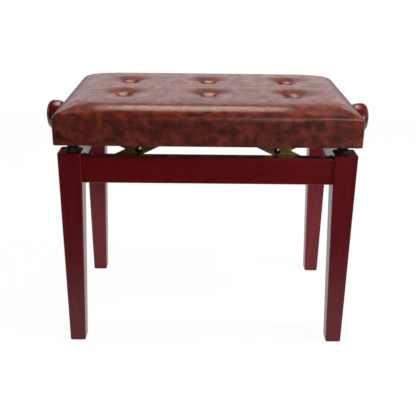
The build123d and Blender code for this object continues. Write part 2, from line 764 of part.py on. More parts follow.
# Folding arms, links and nut bars
long_arm = strip((pivot_x, lower_pivot_z), (slide_x, upper_pivot_z), arm_outer, arm_inner, (0, 0.5, 1))
short_link = strip((pivot_x, upper_pivot_z), (middle_x, middle_z), link_outer, link_inner, (0, 1))
arm_rivet = make_arm_rivet()
nut_bar = make_nut_bar()
spacers = make_slide_spacers()
for side, x_sign in sides.items():
    for row, y_sign in rows.items():
        nodes[f"long_arm_{side}_{row}"] = to_corner(long_arm, x_sign, y_sign)
        nodes[f"short_link_{side}_{row}"] = to_corner(short_link, x_sign, y_sign)
    nodes[f"arm_rivets_{side}"] = group([to_corner(arm_rivet, x_sign, sign) for sign in rows.values()])
    nodes[f"nut_bar_{side}"] = to_corner(nut_bar, x_sign, 1)
    nodes[f"slide_spacers_{side}"] = group([to_corner(ring, x_sign, 1) for ring in spacers])

# Spindle with its knobs
nodes["spindle"] = make_spindle()
bush = make_bush()
collar = make_collar()
knob = make_knob()
for side, sign in sides.items():
    nodes[f"spindle_bush_{side}"] = to_corner(bush, sign, 1)
    nodes[f"knob_{side}"] = to_corner(knob, sign, 1)
nodes["spindle_collars"] = group([to_corner(collar, sign, 1) for sign in sides.values()])

# Seat
nodes["seat_board"] = make_board()
nodes["seat_board_screws"] = group([board_screw(x, y, 0) for x, y in board_screw_points()])
nodes["foam_pad"] = make_foam()
nodes["seat_cover"] = make_cover()
nodes["tuft_buttons"] = group([make_button(x, y) for x, y in tuft_points()])
nodes["tuft_ties"] = group([make_tie(x, y) for x, y in tuft_points()])

os.makedirs("parts", exist_ok=True)
for name, shape in nodes.items():
    export_step(shape, f"parts/{name}.step")
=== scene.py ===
import json
import math

import bmesh
import bpy
import numpy as np
from mathutils import Matrix, Vector


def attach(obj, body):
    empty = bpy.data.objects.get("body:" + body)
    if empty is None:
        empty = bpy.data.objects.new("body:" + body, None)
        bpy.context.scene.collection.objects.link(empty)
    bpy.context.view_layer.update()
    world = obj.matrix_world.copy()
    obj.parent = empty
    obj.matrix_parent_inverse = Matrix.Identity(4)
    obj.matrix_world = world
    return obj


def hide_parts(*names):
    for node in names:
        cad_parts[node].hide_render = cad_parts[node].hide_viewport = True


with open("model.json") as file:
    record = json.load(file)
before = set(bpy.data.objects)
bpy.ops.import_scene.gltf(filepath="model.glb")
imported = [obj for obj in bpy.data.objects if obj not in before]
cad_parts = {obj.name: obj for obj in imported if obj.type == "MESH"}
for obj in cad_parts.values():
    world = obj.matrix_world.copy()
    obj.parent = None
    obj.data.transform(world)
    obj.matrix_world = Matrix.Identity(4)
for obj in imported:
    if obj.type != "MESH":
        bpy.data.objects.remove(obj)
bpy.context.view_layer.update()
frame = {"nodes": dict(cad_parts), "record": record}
scene = bpy.context.scene
mm = 0.001

# Sizes of the bench that the pieces below share, in metres.
seat_half_x = 275.5 * mm
seat_half_y = 170.5 * mm
seat_bottom = 408 * mm
board_top = 450 * mm
crown_z = 480.4 * mm
corner_drop = 15.075 * mm  # from the crown down to the long edges near the corners
corner_turn = 60 * mm  # along a long edge, from its soft shoulder to its crisp corner
edge_fall = 1.7 * mm  # how much the long edges fall from their middle to the corners
fall_reach = 45 * mm  # how far in from the long edges that fall is felt
front_lift = 1.6 * mm  # how much higher the cushion is along its front edge
end_edge_z = 458.6 * mm
end_shoulder_width = 72 * mm
end_shoulder_rise = 24.9 * mm
tuft_xs = (-158 * mm, 0.0, 158 * mm)
tuft_ys = (-59 * mm, 59 * mm)
tuft_reach = 60 * mm  # from a button out to where its tuft has died away
tuft_squeeze = 0.84  # a tuft's depth from front to back over its length
cover_wall = 1.2 * mm
cover_return = 22 * mm  # what is turned under the seat
foam_inset = 2.2 * mm  # from the cover's outer face in to the foam
button_radius = 11 * mm
button_height = 5.5 * mm
spindle_z = 420 * mm
pivot_x = 182.929 * mm
middle_x = 126.248 * mm
lower_pivot_z = 365 * mm
middle_z = 392.5 * mm

edge_radius = (seat_half_x**2 + edge_fall**2) / (2 * edge_fall)
end_radius = (end_shoulder_width**2 + end_shoulder_rise**2) / (2 * end_shoulder_rise)
tufts = [(x, y) for x in tuft_xs for y in tuft_ys]


def to_linear(hex_code):
    """sRGB hex to the linear colour that shaders take."""
    parts = [int(hex_code[i:i + 2], 16) / 255 for i in (1, 3, 5)]
    return [c / 12.92 if c <= 0.04045 else ((c + 0.055) / 1.055) ** 2.4 for c in parts] + [1.0]


def add(tree, kind, inputs=None, **settings):
    """Adds a node with its settings. An input that is a socket is linked, any other is set."""
    node = tree.nodes.new(kind)
    for name, value in settings.items():
        setattr(node, name, value)
    for key, value in (inputs or {}).items():
        if isinstance(value, bpy.types.NodeSocket):
            tree.links.new(value, node.inputs[key])
        else:
            node.inputs[key].default_value = value
    return node


def start_material(name):
    """An empty material: its node tree and the object's own coordinates."""
    material = bpy.data.materials.new(name)
    material.use_nodes = True
    tree = material.node_tree
    tree.nodes.clear()
    return material, tree, add(tree, "ShaderNodeTexCoord").outputs["Object"]


def lacquered_mahogany(name, grain_axis, dark, pale, gloss=0.32):
    """Stained beech-like wood under thick gloss lacquer: a deep wine red whose fine straight grain only
    just shows, and a clear coat that mirrors the room at low angles."""
    material, tree, place = start_material(name)
    per_metre = [1 / (7 * mm)] * 3  # streaks about 7 mm apart
    per_metre[grain_axis] = 1 / (160 * mm)
    along = add(tree, "ShaderNodeMapping", {"Vector": place, "Scale": per_metre}).outputs[0]
    streaks = add(tree, "ShaderNodeTexNoise", {"Vector": along, "Scale": 1.0, "Detail": 4.0,
                                               "Roughness": 0.55, "Distortion": 0.6}).outputs[0]
    fine = [1 / (1.6 * mm)] * 3  # pores, drawn about four times too coarse so that they show
    fine[grain_axis] = 1 / (30 * mm)
    along_fine = add(tree, "ShaderNodeMapping", {"Vector": place, "Scale": fine}).outputs[0]
    pores = add(tree, "ShaderNodeTexNoise", {"Vector": along_fine, "Scale": 1.0, "Detail": 2.0}).outputs[0]
    stain = add(tree, "ShaderNodeMapRange", {"Value": streaks, "From Min": 0.3, "From Max": 0.7}).outputs[0]
    body = add(tree, "ShaderNodeMix", {0: stain, 6: to_linear(dark), 7: to_linear(pale)},
               data_type="RGBA").outputs[2]
    pore_dark = add(tree, "ShaderNodeMapRange", {"Value": pores, "From Min": 0.55, "From Max": 0.75,
                                                 "To Max": 0.35}).outputs[0]
    colour = add(tree, "ShaderNodeMix", {0: pore_dark, 6: body, 7: to_linear("#3A0406")},
                 data_type="RGBA").outputs[2]
    relief = add(tree, "ShaderNodeBump", {"Height": pores, "Strength": 0.05,
                                          "Distance": 0.2 * mm}).outputs[0]
    skin = add(tree, "ShaderNodeBsdfPrincipled", {"Base Color": colour, "Roughness": 0.24, "Normal": relief,
                                                  "Specular IOR Level": gloss})
    add(tree, "ShaderNodeOutputMaterial", {"Surface": skin.outputs[0]})
    return material


def bare_wood(name, grain_axis, pale, dark, streak):
    """Softwood or veneer under the seat in a dark brown that is painted shade, left matt, with plain
    straight grain.
    """
    material, tree, place = start_material(name)
    per_metre = [1 / streak] * 3
    per_metre[grain_axis] = 1 / (40 * streak)
    along = add(tree, "ShaderNodeMapping", {"Vector": place, "Scale": per_metre}).outputs[0]
    grain = add(tree, "ShaderNodeTexNoise", {"Vector": along, "Scale": 1.0, "Detail": 5.0,
                                             "Distortion": 0.8}).outputs[0]
    shade = add(tree, "ShaderNodeMapRange", {"Value": grain, "From Min": 0.3, "From Max": 0.7}).outputs[0]
    colour = add(tree, "ShaderNodeMix", {0: shade, 6: to_linear(pale), 7: to_linear(dark)},
                 data_type="RGBA").outputs[2]
    relief = add(tree, "ShaderNodeBump", {"Height": grain, "Strength": 0.2,
                                          "Distance": 0.3 * mm}).outputs[0]
    skin = add(tree, "ShaderNodeBsdfPrincipled", {"Base Color": colour, "Roughness": 0.75,
                                                  "Normal": relief})
    add(tree, "ShaderNodeOutputMaterial", {"Surface": skin.outputs[0]})
    return material


def mottled_vinyl(name):
    """Glossy upholstery vinyl printed with red-brown blotches like old leather, with a fine pebbled
    emboss and a film of gloss that turns grey where it mirrors the room."""
    material, tree, place = start_material(name)
    cloud = add(tree, "ShaderNodeTexNoise", {"Vector": place, "Scale": 1 / (24 * mm), "Detail": 4.0,
                                             "Roughness": 0.55, "Distortion": 0.9}).outputs[0]
    speck = add(tree, "ShaderNodeTexNoise", {"Vector": place, "Scale": 1 / (13 * mm), "Detail": 3.0,
                                             "Roughness": 0.55}).outputs[0]
    tone = add(tree, "ShaderNodeMapRange", {"Value": cloud, "From Min": 0.36, "From Max": 0.6}).outputs[0]
    patch = add(tree, "ShaderNodeMapRange", {"Value": speck, "From Min": 0.44, "From Max": 0.66,
                                             "To Max": 0.75}).outputs[0]
    base = add(tree, "ShaderNodeMix", {0: tone, 6: to_linear("#441812"), 7: to_linear("#6E2B21")},
               data_type="RGBA").outputs[2]
    colour = add(tree, "ShaderNodeMix", {0: patch, 6: base, 7: to_linear("#36120C")},
                 data_type="RGBA").outputs[2]
    pebble = add(tree, "ShaderNodeTexVoronoi", {"Vector": place, "Scale": 1 / (2.2 * mm)},
                 feature="SMOOTH_F1").outputs[0]  # about twice the real emboss, so that it shows
    slow = add(tree, "ShaderNodeBump", {"Height": speck, "Strength": 0.2, "Distance": 0.2 * mm}).outputs[0]
    relief = add(tree, "ShaderNodeBump", {"Height": pebble, "Strength": 0.12, "Distance": 0.3 * mm,
                                          "Normal": slow}).outputs[0]
    rough = add(tree, "ShaderNodeMapRange", {"Value": tone, "To Min": 0.31, "To Max": 0.25}).outputs[0]
    skin = add(tree, "ShaderNodeBsdfPrincipled", {"Base Color": colour, "Roughness": rough,
                                                  "Normal": relief})
    add(tree, "ShaderNodeOutputMaterial", {"Surface": skin.outputs[0]})
    return material


def plated_steel(name, pale, dark, roughness):
    """Stamped steel with a thin plated film: metal that is a little cloudy from the bath."""
    material, tree, place = start_material(name)
    cloud = add(tree, "ShaderNodeTexNoise", {"Vector": place, "Scale": 1 / (14 * mm),
                                             "Detail": 4.0}).outputs[0]
    shade = add(tree, "ShaderNodeMapRange", {"Value": cloud, "From Min": 0.35, "From Max": 0.65}).outputs[0]
    colour = add(tree, "ShaderNodeMix", {0: shade, 6: to_linear(pale), 7: to_linear(dark)},
                 data_type="RGBA").outputs[2]
    rough = add(tree, "ShaderNodeMapRange", {"Value": cloud, "To Min": roughness - 0.08,
                                             "To Max": roughness + 0.1}).outputs[0]
    skin = add(tree, "ShaderNodeBsdfPrincipled", {"Base Color": colour, "Metallic": 1.0,
                                                  "Roughness": rough})
    add(tree, "ShaderNodeOutputMaterial", {"Surface": skin.outputs[0]})
    return material


def plain_soft(name, pale, dark, size, roughness):
    """Rubber, nylon, foam or twine: one colour with a slight cloud and a fine skin, and no shine."""
    material, tree, place = start_material(name)
    cloud = add(tree, "ShaderNodeTexNoise", {"Vector": place, "Scale": 1 / size, "Detail": 3.0}).outputs[0]
    colour = add(tree, "ShaderNodeMix", {0: cloud, 6: to_linear(pale), 7: to_linear(dark)},
                 data_type="RGBA").outputs[2]
    relief = add(tree, "ShaderNodeBump", {"Height": cloud, "Strength": 0.3,
                                          "Distance": 0.3 * mm}).outputs[0]
    skin = add(tree, "ShaderNodeBsdfPrincipled", {"Base Color": colour, "Roughness": roughness,
                                                  "Normal": relief})
    add(tree, "ShaderNodeOutputMaterial", {"Surface": skin.outputs[0]})
    return material


mahogany = [lacquered_mahogany("mahogany_lacquer_x", 0, "#540408", "#62080D"),
            lacquered_mahogany("mahogany_lacquer_y", 1, "#540408", "#62080D"),
            lacquered_mahogany("mahogany_lacquer_z", 2, "#50060E", "#5E0A16")]
# The knobs get a darker, purpler copy of the mahogany with more gloss. This is painted shade, because the
# lamps light the knobs brighter than they should look.
knob_mahogany_painted_shade = lacquered_mahogany("mahogany_lacquer_knob_painted_shade", 0, "#480810", "#540C16", 0.75)
# The rails and board under the seat are painted dark brown. This is painted shade, standing in for the
# shadow under the seat that the aprons' tops mirror.
pine = [bare_wood("dark_pine_painted_shade_x", 0, "#4A3426", "#35251B", 5 * mm),
        bare_wood("dark_pine_painted_shade_y", 1, "#4A3426", "#35251B", 5 * mm)]
birch_ply = bare_wood("dark_plywood_painted_shade", 0, "#4E382A", "#3B2A1F", 9 * mm)
vinyl = mottled_vinyl("mottled_vinyl")
yellow_zinc = plated_steel("yellow_zinc_steel", "#9C7A49", "#7C623C", 0.36)
bright_zinc = plated_steel("bright_zinc_steel", "#C2C2BC", "#9A9A96", 0.3)
polished_steel = plated_steel("polished_steel", "#8C8576", "#5E594E", 0.14)
rubber = plain_soft("black_rubber", "#0C0C0C", "#161514", 3 * mm, 0.65)
nylon = plain_soft("white_nylon", "#DAD7CC", "#CBC7BA", 4 * mm, 0.45)
foam = plain_soft("upholstery_foam", "#D9CA92", "#C7B578", 2 * mm, 0.9)
twine = plain_soft("waxed_twine", "#C2B48C", "#A5966C", 1 * mm, 0.8)


def finish_nodes():
    """Gives every solid that stays in view its finish, with the grain along the piece."""
    grain = {}
    for side, axis in (("front", 0), ("rear", 0), ("left", 1), ("right", 1)):
        grain[f"apron_{side}"] = mahogany[axis]
        grain[f"seat_rail_{side}"] = pine[axis]
    finish = {"mahogany_lacquer": mahogany[0], "plywood": birch_ply, "vinyl": vinyl, "foam": foam,
              "yellow_zinc_steel": yellow_zinc, "bright_steel": bright_zinc, "black_rubber": rubber,
              "nylon": nylon, "twine": twine}
    for part in frame["record"]["subparts"]:
        name, slot = part["node"], part["material_slot"]
        material = grain.get(name) or finish.get(slot)
        if name.startswith("leg_") and slot == "mahogany_lacquer":
            material = mahogany[2]
        node = frame["nodes"][name]
        node.data.materials.clear()
        node.data.materials.append(material)


def new_piece(name, mesh, material=None):
    """A mesh object at the origin."""
    piece = bpy.data.objects.new(name, mesh)
    scene.collection.objects.link(piece)
    if material:
        mesh.materials.clear()
        mesh.materials.append(material)
    return piece


def plain_mesh(piece):
    """The piece's mesh with its modifiers applied."""
    return bpy.data.meshes.new_from_object(piece.evaluated_get(bpy.context.evaluated_depsgraph_get()))


def smooth_faces(mesh, angle=40):
    """Smooth shading that keeps edges sharper than the angle."""
    mesh.shade_smooth()
    mesh.set_sharp_from_angle(angle=math.radians(angle))


def apply_modifiers(piece):
    """Turns the piece's modifiers into plain mesh."""
    old = piece.data
    mesh = plain_mesh(piece)
    piece.modifiers.clear()
    piece.data = mesh
    bpy.data.meshes.remove(old)
    return piece


def outward(mesh):
    """Turns the faces of a closed mesh outwards."""
    work = bmesh.new()
    work.from_mesh(mesh)
    bmesh.ops.recalc_face_normals(work, faces=work.faces)
    work.to_mesh(mesh)
    work.free()
    return mesh


def boxes(name, places):
    """One mesh of plain boxes, each given by its centre and its size."""
    work = bmesh.new()
    for centre, size in places:
        bmesh.ops.create_cube(work, size=1.0, matrix=Matrix.LocRotScale(Vector(centre), None, Vector(size)))
    mesh = bpy.data.meshes.new(name)
    work.to_mesh(mesh)
    work.free()
    return mesh


def turned(name, profile, steps, axis="Z"):
    """Lathe-turned mesh: a closed profile of (along, radius) pairs spun round the Z or the X axis."""
    verts, faces, rings = [], [], []
    for along, radius in profile:
        if radius < 1e-7:
            rings.append([len(verts)])
            verts.append((along, 0.0, 0.0))
            continue
        rings.append(list(range(len(verts), len(verts) + steps)))
        for k in range(steps):
            turn = 2 * math.pi * k / steps
            verts.append((along, radius * math.cos(turn), radius * math.sin(turn)))
    for low, high in zip(rings, rings[1:]):
        for k in range(steps):
            a, b = low[k % len(low)], low[(k + 1) % len(low)]
            c, d = high[(k + 1) % len(high)], high[k % len(high)]
            corners = list(dict.fromkeys((a, b, c, d)))
            if len(corners) > 2:
                faces.append(corners)
    if axis == "Z":
        verts = [(y, z, x) for x, y, z in verts]
    mesh = bpy.data.meshes.new(name)
    mesh.from_pydata(verts, [], faces)
    return outward(mesh)


def arc(start, end, tangent, steps):
    """Points of the arc that leaves start along tangent and comes to end, without its first point."""
    p0, p1, t = Vector(start), Vector(end), Vector(tangent).normalized()
    chord = p1 - p0
    normal = Vector((-t.y, t.x))
    side = chord.dot(normal)
    if abs(side) < 1e-9:
        return [tuple(p0.lerp(p1, (k + 1) / steps)) for k in range(steps)]
    radius = chord.length_squared / (2 * side)
    centre = p0 + normal * radius
    sweep = 2 * math.atan2(side, chord.dot(t))
    spoke = p0 - centre
    out = []
    for k in range(1, steps + 1):
        turn = sweep * k / steps
        out.append(tuple(centre + Vector((spoke.x * math.cos(turn) - spoke.y * math.sin(turn),
                                          spoke.x * math.sin(turn) + spoke.y * math.cos(turn)))))
    return out


# Cushion


def heights(slopes):
    """Distances and the heights gained over them, from (distance in mm, slope in degrees) pairs."""
    run = np.linspace(slopes[0][0], slopes[-1][0], 600)
    slope = np.tan(np.radians(np.interp(run, *zip(*slopes))))
    return run * mm, np.concatenate([[0], np.cumsum((slope[1:] + slope[:-1]) / 2 * np.diff(run))]) * mm


# In from a long edge, at mid-length and at the corners, and out from a button
full_brow = heights(((0, 84), (0.5, 77), (1, 71.7), (2, 64), (3, 58), (4, 53), (5, 48.5), (6, 44.4),
                     (8.5, 34.5), (13, 26), (19, 15.7), (23.5, 12), (29, 8), (38, 4), (52, 2), (90, 1),
                     (seat_half_y / mm, 0)))
thin_brow = heights(((0, 40), (5, 31), (24, 13), (38, 8.5), (58, 3.5), (seat_half_y / mm, 0)))
dish = heights(((0, 0), (6, 0), (7, 34), (11, 38), (13, 22), (14, 11), (24, 10.5), (34, 9.5), (44, 6.5),
                (52, 3), (tuft_reach / mm, 0)))


def near_corner(x, y):
    """0 along the middle of the long edges, 1 at their ends, which are longest at the front right."""
    start = np.where((y < 0) & (x > 0), 140 * mm, 195 * mm)
    share = np.clip((np.abs(x) - start) / corner_turn, 0, 1)
    return share**2 * (3 - 2 * share)


def long_face(x, y):
    """Height of the surface that rises from the long sides, whose edges fall to the corners."""
    inward = np.maximum(seat_half_y - np.abs(y), 0)
    thin = near_corner(x, y)
    full_drop = full_brow[1][-1] - np.interp(inward, *full_brow)
    thin_drop = corner_drop * (1 - np.interp(inward, *thin_brow) / thin_brow[1][-1])
    below = (1 - thin) * full_drop + thin * thin_drop
    lean = front_lift * np.clip(-y / seat_half_y, 0, 1) * (1 - thin)
    fall = edge_radius - np.sqrt(edge_radius**2 - np.minimum(np.abs(x), seat_half_x) ** 2)
    return crown_z - below + lean - fall * np.maximum(1 - inward / fall_reach, 0) ** 2


def end_face(x):
    """Height of the short ends' surface: one wide round from the end's edge up to the crown."""
    inward = np.minimum(seat_half_x - np.abs(x), end_shoulder_width)
    return (end_edge_z + end_shoulder_rise - end_radius
            + np.sqrt(end_radius**2 - (end_shoulder_width - inward) ** 2))


def crown(x, y):
    """Height of the cover before tufting: the two surfaces meet crisply at the corners, softly inside."""
    across, along = long_face(x, y), end_face(x)
    inside = np.minimum(seat_half_x - np.abs(x), seat_half_y - np.abs(y))
    blend = np.clip(0.3 * inside, 0.6 * mm, 7 * mm)
    overlap = np.maximum(blend - np.abs(across - along), 0)
    return np.minimum(across, along) - overlap**2 / (4 * blend)


def from_button(x, y, squeeze=1.0):
    """Distance to the nearest button, counted as longer from front to back where a tuft is squeezed."""
    return np.min([np.hypot(x - tx, (y - ty) / squeeze) for tx, ty in tufts], axis=0)


def tuft_draw(x, y):
    """How far the tufts draw the cover down at a point: a wide dish that steepens towards the button."""
    return dish[1][-1] - np.interp(from_button(x, y, tuft_squeeze), *dish)


def edge_roll(x, y):
    """How far the cover has rolled over the crisp edges of its corners and ends at a point."""
    rolled = np.zeros_like(x)
    for inward, radius, share in ((seat_half_y - np.abs(y), 4.5 * mm, near_corner(x, y)),
                                  (seat_half_x - np.abs(x), 3 * mm, 1)):
        short = np.clip(radius - inward, 0, radius)
        rolled = rolled + share * (radius - np.sqrt(radius**2 - short**2))
    return rolled


def cover_z(x, y):
    """Height of the cover over a point of the seat, before the foam swells it."""
    return crown(x, y) - tuft_draw(x, y) - edge_roll(x, y)


def grid_lines(half):
    """Places of the cover's grid lines: about 5 mm apart, and closer where it rolls over its edges."""
    rolling = np.array([0, 0.5, 1.6, 3.3, 5.6, 8.6, 12.4]) * mm
    plain, half_gap = half - 17 * mm, 2.6 * mm
    even = np.linspace(-plain, plain, round(plain / half_gap) + 1)
    return np.concatenate([rolling - half, even, half - rolling[::-1]])


def round_corners(x, y):
    """Draws the grid's points in where the cover turns round the seat's upright corners."""
    radius = 6 * mm
    u = np.clip((np.abs(x) - seat_half_x + radius) / radius, 0, 1)
    v = np.clip((np.abs(y) - seat_half_y + radius) / radius, 0, 1)
    return (x - np.sign(x) * radius * (u - u * np.sqrt(1 - v**2 / 2)),
            y - np.sign(y) * radius * (v - v * np.sqrt(1 - u**2 / 2)))


def rows_below(rim):
    """Rows of points from the rim of the cover's top down its sides, and on under the seat."""
    plan, height = rim[:, :2], rim[:, 2]
    limit = np.array([seat_half_x, seat_half_y]) - cover_return
    inner = np.sign(plan) * np.minimum(np.abs(plan), limit)
    last_z = seat_bottom + 0.8 * mm
    sides = [np.column_stack([plan, height + (last_z - height) * share])
             for share in (0.06, 0.16, 0.4, 0.7, 0.96, 1.0)]
    under = [np.column_stack([plan + (inner - plan) * share, np.full(len(rim), seat_bottom)])
             for share in (0.03, 0.2, 1.0)]
    return sides + under


def cover_grid():
    """Outer face of the cover as a grid of quads: the crown, the four sides and the edge turned under.
    Also the ring of its points round the top."""
    x, y = np.meshgrid(grid_lines(seat_half_x), grid_lines(seat_half_y), indexing="ij")
    nx, ny = x.shape
    verts = np.stack([*round_corners(x, y), cover_z(x, y)], -1).reshape(-1, 3).tolist()
    index = np.arange(nx * ny).reshape(nx, ny)
    faces = [(index[i, j], index[i + 1, j], index[i + 1, j + 1], index[i, j + 1])
             for i in range(nx - 1) for j in range(ny - 1)]
    ring = np.concatenate([index[:, 0], index[-1, 1:], index[-2::-1, -1], index[0, -2:0:-1]]).tolist()
    last = ring
    for row in rows_below(np.array([verts[i] for i in ring])):
        here = list(range(len(verts), len(verts) + len(ring)))
        verts += row.tolist()
        for k in range(len(ring)):
            n = (k + 1) % len(ring)
            faces.append((last[k], here[k], here[n], last[n]))
        last = here
    mesh = bpy.data.meshes.new("cover_skin")
    mesh.from_pydata(verts, [], faces)
    return mesh, ring


def read_points(mesh):
    """The places of a mesh's points, one row each."""
    points = np.empty(len(mesh.vertices) * 3)
    mesh.vertices.foreach_get("co", points)
    return points.reshape(-1, 3)


def write_points(mesh, points):
    """Puts a mesh's points where the rows say."""
    mesh.vertices.foreach_set("co", points.ravel())
    mesh.update()


def swell(piece, most):
    """Lets the foam's pressure fill the cover between its tufts and edges: a short cloth run, which holds
    the sides and the tufts and moves no point by more than the given length."""
    before = read_points(piece.data)
    on_top = before[:, 2] > board_top + 4 * mm
    hold_reach, hold_fade = 50 * mm, 20 * mm
    hold = np.clip((hold_reach - from_button(before[:, 0], before[:, 1])) / hold_fade, 0, 1)
    grip = np.where(on_top, hold, 1.0)
    held = piece.vertex_groups.new(name="held")
    for i in np.nonzero(grip)[0]:
        held.add([int(i)], float(grip[i]), "REPLACE")
    cloth = piece.modifiers.new("foam_pressure", "CLOTH")
    cloth.settings.vertex_group_mass = held.name
    cloth.settings.quality = 5
    cloth.settings.use_pressure = True
    cloth.settings.uniform_pressure_force = 4
    cloth.settings.effector_weights.gravity = 0
    last_frame = 20
    for number in range(1, last_frame + 1):
        scene.frame_set(number)
    after = read_points(plain_mesh(piece))
    scene.frame_set(1)
    piece.modifiers.clear()
    piece.vertex_groups.clear()
    moved = after - before
    far = np.linalg.norm(moved, axis=1, keepdims=True)
    write_points(piece.data, before + moved * np.minimum(1, most / np.maximum(far, 1e-9)))


def sew_corners_and_tufts(mesh):
    """Sinks the mitred corner seams and the tuck of cover round each button."""
    p = read_points(mesh)
    x, y = p[:, 0], p[:, 1]
    top = p[:, 2] > board_top + 2 * mm
    at_corner = (np.abs(x) > seat_half_x - 40 * mm) & (np.abs(y) > seat_half_y - 50 * mm) & top
    seam_depth, seam_width = 0.7 * mm, 1.5 * mm
    apart = long_face(x, y) - end_face(np.clip(x, -seat_half_x, seat_half_x))
    seam = seam_depth * np.exp(-((apart / seam_width) ** 2))
    tuck_depth, tuck_radius, tuck_width = 1.2 * mm, 12.5 * mm, 3 * mm
    tuck = tuck_depth * np.exp(-(((from_button(x, y) - tuck_radius) / tuck_width) ** 2))
    p[:, 2] -= np.where(at_corner, seam, 0) + np.where(top, tuck, 0)
    write_points(mesh, p)


def crease_ends(mesh, ring):
    """Creases the top's rim at its ends, and less and less towards the middle of the long edges."""
    rim = {tuple(sorted(pair)) for pair in zip(ring, ring[1:] + ring[:1])}
    most, crease_from, crease_grows = 0.75, 215 * mm, 50 * mm
    crease = mesh.attributes.new("crease_edge", "FLOAT", "EDGE")
    for line in mesh.edges:
        if tuple(sorted(line.vertices)) in rim:
            out = abs(mesh.vertices[line.vertices[0]].co.x)
            crease.data[line.index].value = most * min(1, max(0, (out - crease_from) / crease_grows))


def foam_under(cover):
    """The foam pad: the cover's own form drawn in a little, and cut flat where it lies on the board."""
    pad = new_piece("foam_cushion", cover.data.copy(), foam)
    bottom = board_top + 0.2 * mm
    trim = bmesh.new()
    trim.from_mesh(pad.data)
    bmesh.ops.bisect_plane(trim, geom=trim.verts[:] + trim.edges[:] + trim.faces[:],
                           plane_co=(0, 0, bottom), plane_no=(0, 0, 1), clear_inner=True)
    bmesh.ops.recalc_face_normals(trim, faces=trim.faces)
    inward = {v: -foam_inset * v.normal for v in trim.verts}
    for v, shift in inward.items():
        v.co += shift
        v.co.z = max(v.co.z, bottom)
    bmesh.ops.holes_fill(trim, edges=[e for e in trim.edges if e.is_boundary], sides=0)
    bmesh.ops.recalc_face_normals(trim, faces=trim.faces)
    trim.to_mesh(pad.data)
    trim.free()
    smooth_faces(pad.data, 60)
    return pad


def make_cushion():
    """The vinyl cover over its foam, tufted and drawn tight round the seat's box."""
    mesh, ring = cover_grid()
    cover = new_piece("vinyl_cover", mesh, vinyl)
    swell(cover, 3 * mm)
    crease_ends(cover.data, ring)
    finer = cover.modifiers.new("finer", "SUBSURF")
    finer.levels = finer.render_levels = 1
    apply_modifiers(cover)
    sew_corners_and_tufts(cover.data)
    pad = foam_under(cover)
    wall = cover.modifiers.new("wall", "SOLIDIFY")
    wall.thickness, wall.offset = cover_wall, -1
    apply_modifiers(cover)
    smooth_faces(cover.data, 75)
    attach(cover, "seat")
    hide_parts("seat_cover")
    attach(pad, "seat")
    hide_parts("foam_pad")


# Turned knobs and spindle


def make_knobs():
    """Mahogany knobs turned on the lathe: neck, cove, full rim and slightly domed face."""
    neck, back, rim = (277.9 * mm, 13.6 * mm), (291.5 * mm, 27 * mm), (306.5 * mm, 29 * mm)
    face, tip = (317.5 * mm, 20 * mm), (320.5 * mm, 0.0)
    profile = [(277.5 * mm, 0.0), (277.5 * mm, 12.8 * mm), neck]
    profile += arc(neck, back, (0.62, 1.0), 10)
    profile += arc(rim, back, (-1, 0), 10)[-2::-1] + [rim]
    profile += arc(rim, face, (1, 0), 14)
    profile += arc(tip, face, (0, 1), 12)[-2::-1] + [tip]
    for side, sign in (("left", -1), ("right", 1)):
        mesh = turned(f"turned_knob_{side}", [(sign * a, r) for a, r in profile], 72, axis="X")
        smooth_faces(mesh, 35)
        knob = new_piece(f"turned_knob_{side}", mesh, knob_mahogany_painted_shade)
        mesh.transform(Matrix.Translation((0, 0, spindle_z)))
        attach(knob, "spindle")
        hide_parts(f"knob_{side}")


def make_spindle():
    """Screw shaft with a right-hand thread on one half and a left-hand thread on the other."""
    lead, steps = 6 * mm, 28
    core, crest, journal, middle = 4.9 * mm, 6 * mm, 5 * mm, 5.25 * mm
    thread_from, thread_to, end = 50 * mm, 160 * mm, 301 * mm
    stations = [0.0, thread_from - 1 * mm]
    stations += list(np.arange(thread_from, thread_to + 1e-6, lead / 10))
    stations += [thread_to + 1 * mm, 250 * mm, end]
    xs = [-s for s in reversed(stations[1:])] + stations
    verts, faces = [], []
    for x in xs:
        for k in range(steps):
            turn = 2 * math.pi * k / steps
            if thread_from <= abs(x) <= thread_to:
                wave = (abs(x) / lead - math.copysign(1, x) * k / steps) % 1
                height = min(1, max(0, (0.38 - abs(wave - 0.5)) / 0.14))
                radius = core + (crest - core) * height
            else:
                radius = middle if abs(x) < thread_from else journal
            verts.append((x, radius * math.cos(turn), radius * math.sin(turn) + spindle_z))
    for i in range(len(xs) - 1):
        for k in range(steps):
            n = (k + 1) % steps
            faces.append((i * steps + k, i * steps + n, (i + 1) * steps + n, (i + 1) * steps + k))
    faces.append(tuple(range(steps)))
    faces.append(tuple(reversed(range((len(xs) - 1) * steps, len(xs) * steps))))
    mesh = bpy.data.meshes.new("threaded_spindle")
    mesh.from_pydata(verts, [], faces)
    smooth_faces(outward(mesh), 30)
    spindle = new_piece("threaded_spindle", mesh, bright_zinc)
    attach(spindle, "spindle")
    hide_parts("spindle")


# Buttons, rivets, pins, screws and staples, each set out in numbers from one master


